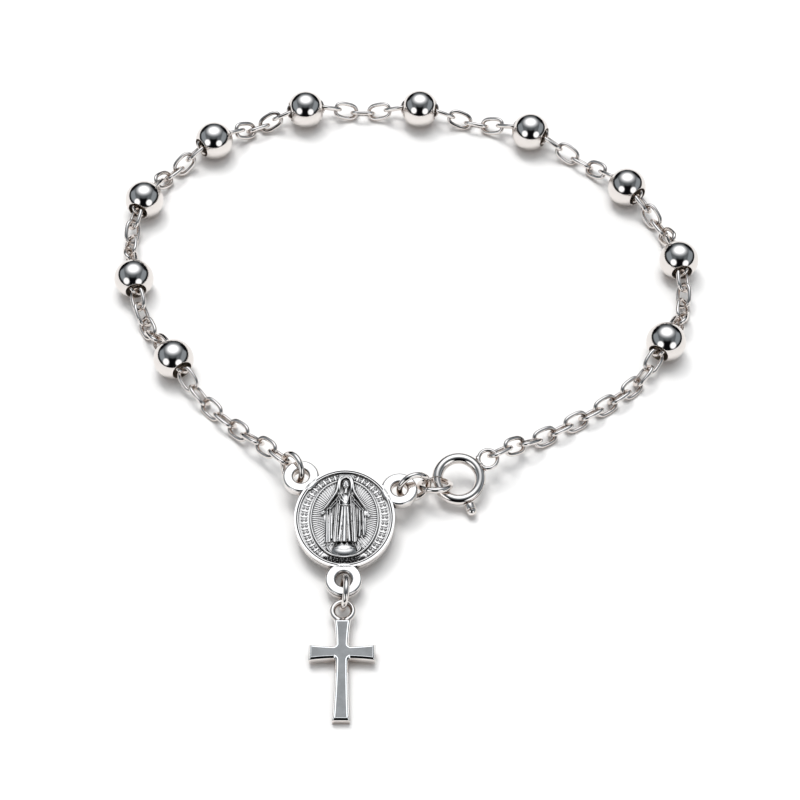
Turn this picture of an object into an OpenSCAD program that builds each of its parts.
// Silver rosary bracelet, laid out flat as a closed loop: ten drilled round beads on a chain of
// oval links, a cast medal with three eared lugs, round jump rings, a spring-ring clasp and a
// small hanging cross. The origin is the middle of the bracelet's outline, on the surface that
// it lies on, with the cross towards -Y.

/* [Beads] */
// Diameter of a bead
bead_d = 4; // [3.6:0.1:4.6]
// Diameter of the bead's bore
bead_bore = 2.08; // [2.06:0.01:2.2]

/* [Chain] */
// Outer length of a chain link
link_length = 2.8; // [2.75:0.01:2.85]
// Outer width of a chain link
link_width = 1.86; // [1.8:0.01:1.9]
// Wire thickness of a chain link
link_wire = 0.32; // [0.28:0.01:0.34]
// Least gap between one link's wire and the next
link_fit = 0.1; // [0.1:0.01:0.14]
// Outer width of the narrow link inside a bead
core_width = 1.6; // [1.55:0.01:1.7]
// Wire thickness of the narrow link inside a bead
core_wire = 0.3; // [0.26:0.01:0.32]

/* [Jump rings] */
// Outer diameter of a jump ring
ring_d = 3.5; // [3.3:0.1:3.9]
// Wire thickness of a jump ring
ring_wire = 0.57; // [0.5:0.01:0.6]

/* [Medal] */
// Width of the medal without its ears
medal_w = 9.45; // [9:0.05:10.5]
// Height of the medal without its ears
medal_h = 10.5; // [10:0.05:11.5]
// Thickness of the medal at its rim
medal_t = 1; // [0.9:0.05:1.2]
// Width of the raised rim
rim_w = 0.42; // [0.3:0.01:0.5]
// Depth of the field below the rim
field_depth = 0.3; // [0.2:0.01:0.35]
// Width of the inner oval border, outside
oval_w = 6.5; // [6.2:0.05:6.8]
// Height of the inner oval border, outside
oval_h = 8.3; // [8:0.05:8.6]
// Width of the inner oval border's line
oval_line = 0.24; // [0.2:0.01:0.3]
// Height of the relief on the field
relief_h = 0.18; // [0.1:0.01:0.2]
// Outer diameter of an ear
ear_d = 3.1; // [3:0.05:3.4]
// Diameter of the hole in an ear
ear_hole = 1.8; // [1.65:0.05:1.85]
// Thickness of an ear
ear_t = 0.8; // [0.7:0.05:0.9]
// Distance from the medal's edge to the middle of an ear's hole
ear_reach = 1.15; // [1.1:0.01:1.3]
// Tilt of the medal, far edge up
medal_tilt = 6; // [5:0.5:7]

/* [Cross] */
// Length of the cross without its eye
cross_length = 10.1; // [9.5:0.1:11]
// Width of the cross over its arms
cross_width = 6; // [5.6:0.1:6.6]
// Thickness of the cross
cross_t = 0.95; // [0.8:0.05:1.1]
// Width of an arm or stem at its narrowest
limb_waist = 1.2; // [1.1:0.05:1.3]
// Width of an arm or stem at its end
limb_end = 1.6; // [1.5:0.05:1.8]
// Bevel round the front of the cross
cross_bevel = 0.2; // [0.15:0.01:0.25]
// Outer diameter of the eye
eye_d = 2.4; // [2.35:0.05:2.6]
// Wire thickness of the eye
eye_wire = 0.48; // [0.42:0.01:0.52]

/* [Clasp] */
// Outer diameter of the spring ring
clasp_d = 5.15; // [5:0.05:5.6]
// Outer diameter of the spring ring's tube
tube_d = 1.04; // [1:0.01:1.1]
// Wall of the spring ring's tube
tube_wall = 0.08; // [0.07:0.01:0.1]
// Gap all round the bolt in its tube
bolt_fit = 0.04; // [0.03:0.005:0.05]
// Diameter of the trigger's barrel
trigger_d = 1; // [0.9:0.01:1.04]
// Length of the trigger outside the tube
trigger_l = 1.2; // [1:0.05:1.4]
// Angle that the trigger travels to open the clasp
travel = 46; // [42:1:48]
// Outer diameter of the clasp's ear
loop_d = 2.2; // [2.15:0.05:2.4]
// Wire thickness of the clasp's ear
loop_wire = 0.4; // [0.36:0.01:0.44]
// Tilt of the clasp, far edge up
clasp_tilt = 20; // [18:0.5:22]

/* [Hidden] */
$fn = 32;
whole_turn = 360;

// The chosen points of the route that the string of beads lies on, one for each bead
route = [[-23.2, 1.7], [-27.9, 12.2], [-27.6, 23.1], [-20.7, 31.7], [-11, 36.4],
         [1.4, 36.5], [13.3, 33], [23.2, 24.9], [27.9, 14.7], [25.8, 3.9]];
// The chosen place of the medal's middle
medal_spot = [-5.95, -17.65];

silver = [0.80, 0.80, 0.81];
dark_silver = [0.62, 0.62, 0.64];

function unit(v) = v / norm(v);
function flat(v) = [v.x, v.y, 0];
function heading(v) = atan2(v.y, v.x);
function climb(v) = atan2(v.z, norm([v.x, v.y]));

// Beads: each stands on the surface, with its bore level and along the string
bead_r = bead_d / 2;
bead_count = len(route);
mouth = sqrt(pow(bead_r, 2) - pow(bead_bore / 2, 2));
function bead_place(i) = [route[i].x, route[i].y, bead_r];

// Links: half sizes of the wire's centre line, and the widest pitch at which a chain is laid
link_a = (link_length - link_wire) / 2;
link_b = (link_width - link_wire) / 2;
taut_pitch = link_length - 2 * link_wire - link_fit;
laid_share = 0.944;
laid_pitch = laid_share * taut_pitch;
// Where the first joint of a chain lies, from the bead's middle, and how far the narrow link passes it
joint_reach = mouth;
core_pass = 0.24;
core_length = 2 * (joint_reach + core_pass) + core_wire;
roll = 45;
floor_z = link_b * sin(roll) + link_wire / 2 + 0.02;

// Jump rings: radius of the centre line, and the gap kept between a ring and what it holds
ring_r = (ring_d - ring_wire) / 2;
ring_fit = 0.12;
held_fit = 0.34;
// How each jump ring lies: heading, climb into the ring, climb out of it, and how steeply it stands
//                  heading  in   out  stand
drop_lay =         [-90,     13, -22,  80];
right_lay =        [20,      -1, -26,  78];
left_lay =         [124,     -5,  -5,  112];
clasp_lay =        [1,        0,   0,  145];

function ring_level(yaw) = [cos(yaw), sin(yaw), 0];
function ring_rise(yaw, stand) = [-sin(yaw) * cos(stand), cos(yaw) * cos(stand), sin(stand)];
function ring_arm(yaw, stand, el) =
    let (up = sin(el) / sin(stand))
    ring_r * (sqrt(1 - pow(up, 2)) * ring_level(yaw) + up * ring_rise(yaw, stand));

// Medal: the outline's radius at an angle, and the middle of an ear's hole, where a ring passes it
ear_angles = [133, 31, 270];
function outline_r(w, h, a) = 1 / sqrt(pow(cos(a) / (w / 2), 2) + pow(sin(a) / (h / 2), 2));
function ear_r(a) = outline_r(medal_w, medal_h, a) + ear_reach;
function tilt_x(v, a) = [v.x, v.y * cos(a) - v.z * sin(a), v.y * sin(a) + v.z * cos(a)];
medal_z = ring_d / 2 - ring_r * sin(drop_lay[1]) + ear_r(ear_angles[2]) * sin(medal_tilt);
medal_mid = [medal_spot.x, medal_spot.y, medal_z];
function ear_mid(i) =
    medal_mid + tilt_x(ear_r(ear_angles[i]) * [cos(ear_angles[i]), sin(ear_angles[i]), 0], medal_tilt);

// Left jump ring: from the medal's left ear towards the first bead
left_mid = ear_mid(0) + ring_arm(left_lay[0], left_lay[3], left_lay[1]);
left_far = left_mid + ring_arm(left_lay[0], left_lay[3], left_lay[2]);

// Drop ring: from the medal's lower ear, where it hangs at this share of the free play, to the eye of the cross
drop_pull = 0.17;
drop_shift = drop_pull * (ear_hole / 2 - ring_wire / 2 - ring_fit);
drop_mid = ear_mid(2) + drop_shift * ring_level(drop_lay[0]) + ring_arm(drop_lay[0], drop_lay[3], drop_lay[1]);
drop_far = drop_mid + ring_arm(drop_lay[0], drop_lay[3], drop_lay[2]);

// Cross: the eye's middle, and the pitch that brings the foot down to the surface
eye_r = (eye_d - eye_wire) / 2;
eye_hole_r = eye_d / 2 - eye_wire;
// The ring pulls the eye along by this share of the free play in it
eye_pull = 0.85;
eye_shift = eye_pull * (eye_hole_r - ring_wire / 2 - ring_fit);
cross_eye = drop_far + eye_shift * ring_level(drop_lay[0]);
solder = 0.05;
eye_to_body = eye_r + solder;
cross_reach = eye_to_body + cross_length;
cross_pitch = asin(cross_eye.z / norm([cross_reach, cross_t / 2])) - atan2(cross_t / 2, cross_reach);
arm_level = 0.33;
arm_y = eye_to_body + arm_level * cross_length;

// Right jump ring, and the clasp's jump ring that hangs in it
right_mid = ear_mid(1) + ring_arm(right_lay[0], right_lay[3], right_lay[1]);
right_far = right_mid + ring_arm(right_lay[0], right_lay[3], right_lay[2]);
clasp_ring_near = right_far - (ring_wire + ring_fit) * unit(right_far - right_mid);

// Clasp: the ring's own frame has its middle at the origin and its axis along Z
tube_r = tube_d / 2;
clasp_r = clasp_d / 2 - tube_r;
bore_r = tube_r - tube_wall;
bolt_r = bore_r - bolt_fit;
loop_r = (loop_d - loop_wire) / 2;
loop_angle = 35;
held_angle = -164;
trigger_angle = -69;
// The gap lies where the held jump ring rests on the bolt, so that the ring leaves when the bolt slides back
gap_start = -183;
gap_end = -145;
// Angles that the bolt goes on past the gap and past its trigger, and the room left beyond its ends
tip_past = 6;
tail_past = 10;
tip_room = 12;
tail_room = 6;
cut_past = 5;
bolt_tip = gap_start - tip_past;
bolt_tail = trigger_angle + tail_past;
neck_d = 0.36;
slot_fit = 0.06;
slot_ease = 2;
slot_half = asin((neck_d / 2 + slot_fit) / clasp_r) + slot_ease;
loop_reach = clasp_r + tube_r + loop_r - solder;
trigger_start = clasp_d / 2 + slot_fit;
trigger_reach = trigger_start + trigger_l;
floor_fit = 0.05;
clasp_z = trigger_reach * sin(clasp_tilt) + trigger_d / 2 * cos(clasp_tilt) + floor_fit;
held_spot = tilt_x(clasp_r * [cos(held_angle), sin(held_angle), 0], clasp_tilt);
// The clasp's jump ring slopes so that it meets the tube at the height where the clasp lies
held_run = 2 * ring_r - ring_wire / 2 - tube_r - held_fit;
clasp_ring_climb = asin((clasp_z + held_spot.z - clasp_ring_near.z) / held_run);
clasp_ring_arm = ring_arm(clasp_lay[0], clasp_lay[3], clasp_ring_climb);
clasp_ring_mid = clasp_ring_near + clasp_ring_arm;
clasp_mid = clasp_ring_near + held_run * unit(clasp_ring_arm) - held_spot;
loop_mid = clasp_mid + tilt_x(loop_reach * [cos(loop_angle), sin(loop_angle), 0], clasp_tilt);

// Tails of the chain: how tightly each is laid, and the point where its last link holds on
left_pull = 1.03;
right_pull = 0.95;
hook_fit = 0.26;
function hook(held_wire, pull) =
    (held_wire + link_wire) / 2 + hook_fit - (2 * link_a - pull * laid_pitch) / 2;
left_end = left_far - hook(ring_wire, left_pull) * unit(left_far - left_mid);
right_way = unit(flat(bead_place(bead_count - 1) - loop_mid));
loop_hold = loop_mid + tilt_x(loop_r * right_way, clasp_tilt);
right_end = loop_hold - hook(loop_wire, right_pull) * right_way;

// A strand runs from one joint to another. Its row is: start, start direction, end, end direction,
// the share of the laid pitch that it is pulled to, and the lengths over which it comes down at
// its start and at its end
function stop_way(i) =
    let (before = i == 0 ? left_end : bead_place(i - 1),
         after = i == bead_count - 1 ? right_end : bead_place(i + 1))
    unit(unit(flat(bead_place(i) - before)) + unit(flat(after - bead_place(i))));
bead_drop = 3.6;
left_drop = 9;
right_drop = 6.5;
function strand(g) =
    g == 0 ? [left_end, unit(flat(bead_place(0) - left_end)),
              bead_place(0) - joint_reach * stop_way(0), stop_way(0), left_pull, left_drop, bead_drop]
    : g == bead_count ? [bead_place(g - 1) + joint_reach * stop_way(g - 1), stop_way(g - 1),
                         right_end, -right_way, right_pull, bead_drop, right_drop]
    : [bead_place(g - 1) + joint_reach * stop_way(g - 1), stop_way(g - 1),
       bead_place(g) - joint_reach * stop_way(g), stop_way(g), 1, bead_drop, bead_drop];
function strand_span(s) = norm(flat(s[2] - s[0]));
// Every gap has as many links as the longest one needs
gap_links = max([for (g = [1 : bead_count - 1]) ceil(strand_span(strand(g)) / laid_pitch)]);
function links_in(g) =
    g == 0 || g == bead_count ? ceil(strand_span(strand(g)) / (laid_pitch * strand(g)[4])) : gap_links;
function fall(u) = u >= 1 ? 0 : pow(1 - u, 2) * (1 + 2 * u);
function strand_point(s, t) =
    let (span = strand_span(s), arm = span / 3,
         a = s[0], b = s[0] + arm * s[1], c = s[2] - arm * s[3], d = s[2],
         plan = pow(1 - t, 3) * a + 3 * pow(1 - t, 2) * t * b + 3 * (1 - t) * pow(t, 2) * c + pow(t, 3) * d,
         rise = (s[0].z - floor_z) * fall(t * span / s[5])
              + (s[2].z - floor_z) * fall((1 - t) * span / s[6]))
    [plan.x, plan.y, floor_z + rise];
// Links and narrow links follow each other turned by a quarter, so a link's turn goes by its number
function first_number(g) = g == 0 ? 0 : first_number(g - 1) + links_in(g - 1) + 1;
function turn(number) = number % 2 == 0 ? roll : -roll;

module along(place, way, turned) {
    translate(place)
        rotate([0, -climb(way), heading(way)])
            rotate([turned, 0, 0])
                children();
}

// Round length of wire in the XY plane, from one angle through another
module arc_wire(radius, wire, start, sweep) {
    rotate(start)
        rotate_extrude(angle = sweep)
            translate([radius, 0])
                circle(d = wire);
}

// Wire link in the XY plane, with round ends and straight sides along X
module wire_link(length, width, wire) {
    end_r = (width - wire) / 2;
    side = length - width;
    for (s = [0, 180])
        rotate(s) {
            translate([side / 2, 0])
                arc_wire(end_r, wire, -90, 180);
            translate([-side / 2, end_r, 0])
                rotate([0, 90, 0])
                    cylinder(d = wire, h = side);
        }
}

module strand_links(g) {
    s = strand(g);
    n = links_in(g);
    for (k = [0 : n - 1]) {
        here = strand_point(s, k / n);
        next = strand_point(s, (k + 1) / n);
        along((here + next) / 2, next - here, turn(first_number(g) + k))
            wire_link(link_length, link_width, link_wire);
    }
}

module core_link(i) {
    along(bead_place(i), stop_way(i), turn(first_number(i + 1) - 1))
        wire_link(core_length, core_width, core_wire);
}

module chain(first_bead, last_bead, first_strand, last_strand) {
    color(silver) {
        for (g = [first_strand : last_strand])
            strand_links(g);
        for (i = [first_bead : last_bead])
            core_link(i);
    }
}

module bead(i) {
    color(silver)
        along(bead_place(i), stop_way(i), 0)
            rotate([0, 90, 0])
                rotate_extrude()
                    intersection() {
                        circle(d = bead_d);
                        translate([bead_bore / 2, -bead_r])
                            square([bead_r, bead_d]);
                    }
}

module jump_ring(mid, yaw, stand) {
    color(silver)
        translate(mid)
            rotate([0, 0, yaw])
                rotate([stand, 0, 0])
                    rotate_extrude()
                        translate([ring_r, 0])
                            circle(d = ring_wire);
}

// Medal: a plate with a sunk field, a rim, an inner oval border, three ears, and raised relief
field_z = medal_t / 2 - field_depth;
sink = 0.05;
function oval_points(w, h, n = 48) =
    [for (i = [0 : n - 1]) [w / 2 * cos(360 * i / n), h / 2 * sin(360 * i / n)]];

module oval_plate(w, h, t) {
    linear_extrude(t)
        polygon(oval_points(w, h));
}

module oval_wall(w, h, line, t) {
    linear_extrude(t)
        difference() {
            polygon(oval_points(w, h));
            polygon(oval_points(w - 2 * line, h - 2 * line));
        }
}

// Flat relief that stands on the field, to a share of the relief's height
module raised(share) {
    translate([0, 0, field_z - sink])
        linear_extrude(sink + share * relief_h)
            children();
}

// Half width of the web that joins an ear to the medal
web_half = 0.32 * ear_d;
module ears() {
    for (a = ear_angles) {
        place = ear_r(a) * [cos(a), sin(a)];
        difference() {
            union() {
                translate([place.x, place.y, -ear_t / 2])
                    cylinder(d = ear_d, h = ear_t);
                rotate(a)
                    translate([ear_r(a) - ear_d / 2, -web_half, -ear_t / 2])
                        cube([ear_d / 2 - ear_hole / 2, 2 * web_half, ear_t]);
            }
            translate([place.x, place.y, -ear_t])
                cylinder(d = ear_hole, h = 2 * ear_t);
        }
    }
}

// Band between the rim and the border: dots and bars by turns. The head breaks it at the top and a
// plain ground at the bottom.
band_count = 44;
dot_d = 0.3;
bar = [0.52, 0.14];
band_w = (medal_w - 2 * rim_w + oval_w) / 2;
band_h = (medal_h - 2 * rim_w + oval_h) / 2;
head_break = 0.75;
ground_break = 2;
function band_angle(i) = whole_turn * (i + 0.5) / band_count;
function band_spot(a) = [band_w / 2 * cos(a), band_h / 2 * sin(a)];
function band_plain(p) = p.y > 0 ? abs(p.x) < head_break : abs(p.x) < ground_break;
module band() {
    for (i = [0 : band_count - 1], a = band_angle(i))
        if (!band_plain(band_spot(a)))
            translate(band_spot(a))
                rotate(atan2(sin(a) / band_h, cos(a) / band_w)) {
                    if (i % 2 == 0)
                        circle(d = dot_d, $fn = 16);
                    else
                        square(bar, center = true);
                }
}

// Fine rays from behind the figure out to the border
ray_count = 32;
ray_start = 1.1;
ray_w = 0.14;
module rays() {
    for (i = [0 : ray_count - 1]) {
        a = whole_turn * (i + 0.5) / ray_count;
        rotate(a)
            translate([ray_start, -ray_w / 2])
                square([outline_r(oval_w - oval_line, oval_h - oval_line, a) - ray_start, ray_w]);
    }
}

// Outline of the robe. Each row is: height and half width, as shares of the border's height and width
robe_rows = [[0.36, 0.055], [0.335, 0.12], [0.26, 0.2], [0.13, 0.235], [0, 0.21], [-0.14, 0.215], [-0.27, 0.26]];
module robe(inset, rows) {
    polygon(concat([for (r = rows) [r[1] * oval_w - inset, r[0] * oval_h]],
                   [for (i = [len(rows) - 1 : -1 : 0]) [inset - rows[i][1] * oval_w, rows[i][0] * oval_h]]));
}

// Length of a flat limb with round ends, from one point to another
module limb(from, to, w) {
    way = to - from;
    for (p = [from, to])
        translate(p)
            circle(d = w, $fn = 16);
    translate(from)
        rotate(heading(way))
            translate([0, -w / 2])
                square([norm(way), w]);
}

// Low round boss: the cap of a sphere, of the given foot radius and height
module boss(foot_r, h) {
    ball_r = (pow(foot_r, 2) + pow(h, 2)) / (2 * h);
    rotate_extrude()
        intersection() {
            translate([0, h - ball_r])
                circle(r = ball_r, $fn = 96);
            translate([0, -sink])
                square([ball_r, h + sink]);
        }
}

// Standing robed figure with open hands, on a small globe
head_y = 0.4 * oval_h;
head_r = 0.42;
shoulder = [0.13 * oval_w, 0.3 * oval_h];
elbow = [0.2 * oval_w, 0.13 * oval_h];
hand = [0.31 * oval_w, 0.035 * oval_h];
hand_r = 0.22;
sleeve_w = 0.62;
cuff_w = 0.4;
gown_inset = 0.28;
fold_w = 0.14;
belt = [0.06 * oval_w, 0.26 * oval_h];
hem = [0.1 * oval_w, -0.25 * oval_h];
globe_y = -0.35 * oval_h;
globe_r = 0.75;
module figure() {
    raised(0.7)
        robe(0, robe_rows);
    raised(1)
        robe(gown_inset, robe_rows);
    raised(1.2)
        for (m = [-1, 1])
            limb([m * belt.x, belt.y], [m * hem.x, hem.y], fold_w);
    for (m = [-1, 1]) {
        raised(0.85)
            limb([m * shoulder.x, shoulder.y], [m * elbow.x, elbow.y], sleeve_w);
        raised(0.8)
            limb([m * elbow.x, elbow.y], [m * hand.x, hand.y], cuff_w);
        translate([m * hand.x, hand.y, field_z])
            boss(hand_r, relief_h);
    }
    translate([0, head_y, field_z])
        boss(head_r, 1.4 * relief_h);
    translate([0, globe_y, field_z])
        boss(globe_r, 1.1 * relief_h);
}

module medal() {
    color(silver)
        translate(medal_mid)
            rotate([medal_tilt, 0, 0]) {
                translate([0, 0, -medal_t / 2])
                    oval_plate(medal_w, medal_h, medal_t - field_depth);
                translate([0, 0, -medal_t / 2])
                    oval_wall(medal_w, medal_h, rim_w, medal_t);
                translate([0, 0, field_z - sink])
                    oval_wall(oval_w, oval_h, oval_line, sink + 1.2 * relief_h);
                ears();
                raised(1)
                    band();
                raised(0.4)
                    rays();
                figure();
            }
}

// Cross: limbs with hollow-curved sides that flare to their ends, a bevel round the front
function limb_side(long, waist, end, n = 8) =
    [for (i = [0 : n]) [long * i / n, waist / 2 + (end - waist) / 2 * pow(i / n, 2)]];
function limb_outline(long, waist, end) =
    let (side = limb_side(long, waist, end))
    concat(side, [for (i = [len(side) - 1 : -1 : 0]) [side[i].x, -side[i].y]]);

module cross_outline(inset) {
    arm = cross_width / 2 - inset;
    up = arm_y - eye_to_body - inset;
    down = cross_reach - arm_y - inset;
    translate([0, -arm_y]) {
        for (part = [[0, arm], [180, arm], [90, up], [-90, down]])
            rotate(part[0])
                polygon(limb_outline(part[1], limb_waist - 2 * inset, limb_end - 2 * inset));
        circle(d = (limb_waist - 2 * inset) * 1.25);
    }
}

bevel_steps = 3;
module cross() {
    color(dark_silver)
        translate(cross_eye)
            rotate([cross_pitch, 0, 0]) {
                translate([0, 0, -cross_t / 2])
                    linear_extrude(cross_t - cross_bevel)
                        cross_outline(0);
                for (k = [1 : bevel_steps])
                    translate([0, 0, cross_t / 2 - cross_bevel * (1 - (k - 1) / bevel_steps) - 0.001])
                        linear_extrude(cross_bevel / bevel_steps + 0.001)
                            cross_outline(cross_bevel * k / (bevel_steps + 1));
                rotate_extrude()
                    translate([eye_r, 0])
                        circle(d = eye_wire);
            }
}

module in_clasp() {
    translate(clasp_mid)
        rotate([clasp_tilt, 0, 0])
            children();
}

// Spring ring: a hollow tube with a gap, a slot for the trigger's neck, and a soldered ear
module clasp_ring() {
    color(silver)
        in_clasp() {
            difference() {
                arc_wire(clasp_r, tube_d, gap_end, whole_turn + gap_start - gap_end);
                arc_wire(clasp_r, 2 * bore_r, bolt_tip - tip_room, gap_start + cut_past - bolt_tip + tip_room);
                arc_wire(clasp_r, 2 * bore_r, gap_end - cut_past,
                         bolt_tail + travel + tail_room - gap_end + cut_past);
                rotate(trigger_angle - slot_half)
                    rotate_extrude(angle = travel + 2 * slot_half)
                        translate([clasp_r, -neck_d / 2 - slot_fit])
                            square([tube_d, neck_d + 2 * slot_fit]);
            }
            difference() {
                translate([loop_reach * cos(loop_angle), loop_reach * sin(loop_angle), 0])
                    rotate_extrude()
                        translate([loop_r, 0])
                            circle(d = loop_wire);
                rotate_extrude()
                    translate([clasp_r, 0])
                        circle(r = tube_r - tube_wall / 2);
            }
        }
}

// Bolt: a curved rod that slides in the tube, with a trigger that stands out of the slot
module clasp_bolt() {
    color(silver)
        in_clasp() {
            arc_wire(clasp_r, 2 * bolt_r, bolt_tip, bolt_tail - bolt_tip);
            rotate(trigger_angle)
                rotate([0, 90, 0]) {
                    translate([0, 0, clasp_r])
                        cylinder(d = neck_d, h = tube_r + 2 * slot_fit);
                    translate([0, 0, trigger_start])
                        cylinder(d = trigger_d, h = trigger_l - trigger_d / 2);
                    translate([0, 0, trigger_reach - trigger_d / 2])
                        sphere(d = trigger_d);
                }
        }
}

left_beads = floor(bead_count / 2);
bead(0);  // bead_01
bead(1);  // bead_02
bead(2);  // bead_03
bead(3);  // bead_04
bead(4);  // bead_05
bead(5);  // bead_06
bead(6);  // bead_07
bead(7);  // bead_08
bead(8);  // bead_09
bead(9);  // bead_10
chain(0, left_beads - 1, 0, left_beads);  // chain_left
chain(left_beads, bead_count - 1, left_beads + 1, bead_count);  // chain_right
jump_ring(left_mid, left_lay[0], left_lay[3]);  // left_jump_ring
medal();
jump_ring(drop_mid, drop_lay[0], drop_lay[3]);  // drop_jump_ring
cross();
jump_ring(right_mid, right_lay[0], right_lay[3]);  // right_jump_ring
jump_ring(clasp_ring_mid, clasp_lay[0], clasp_lay[3]);  // clasp_jump_ring
clasp_ring();
clasp_bolt();
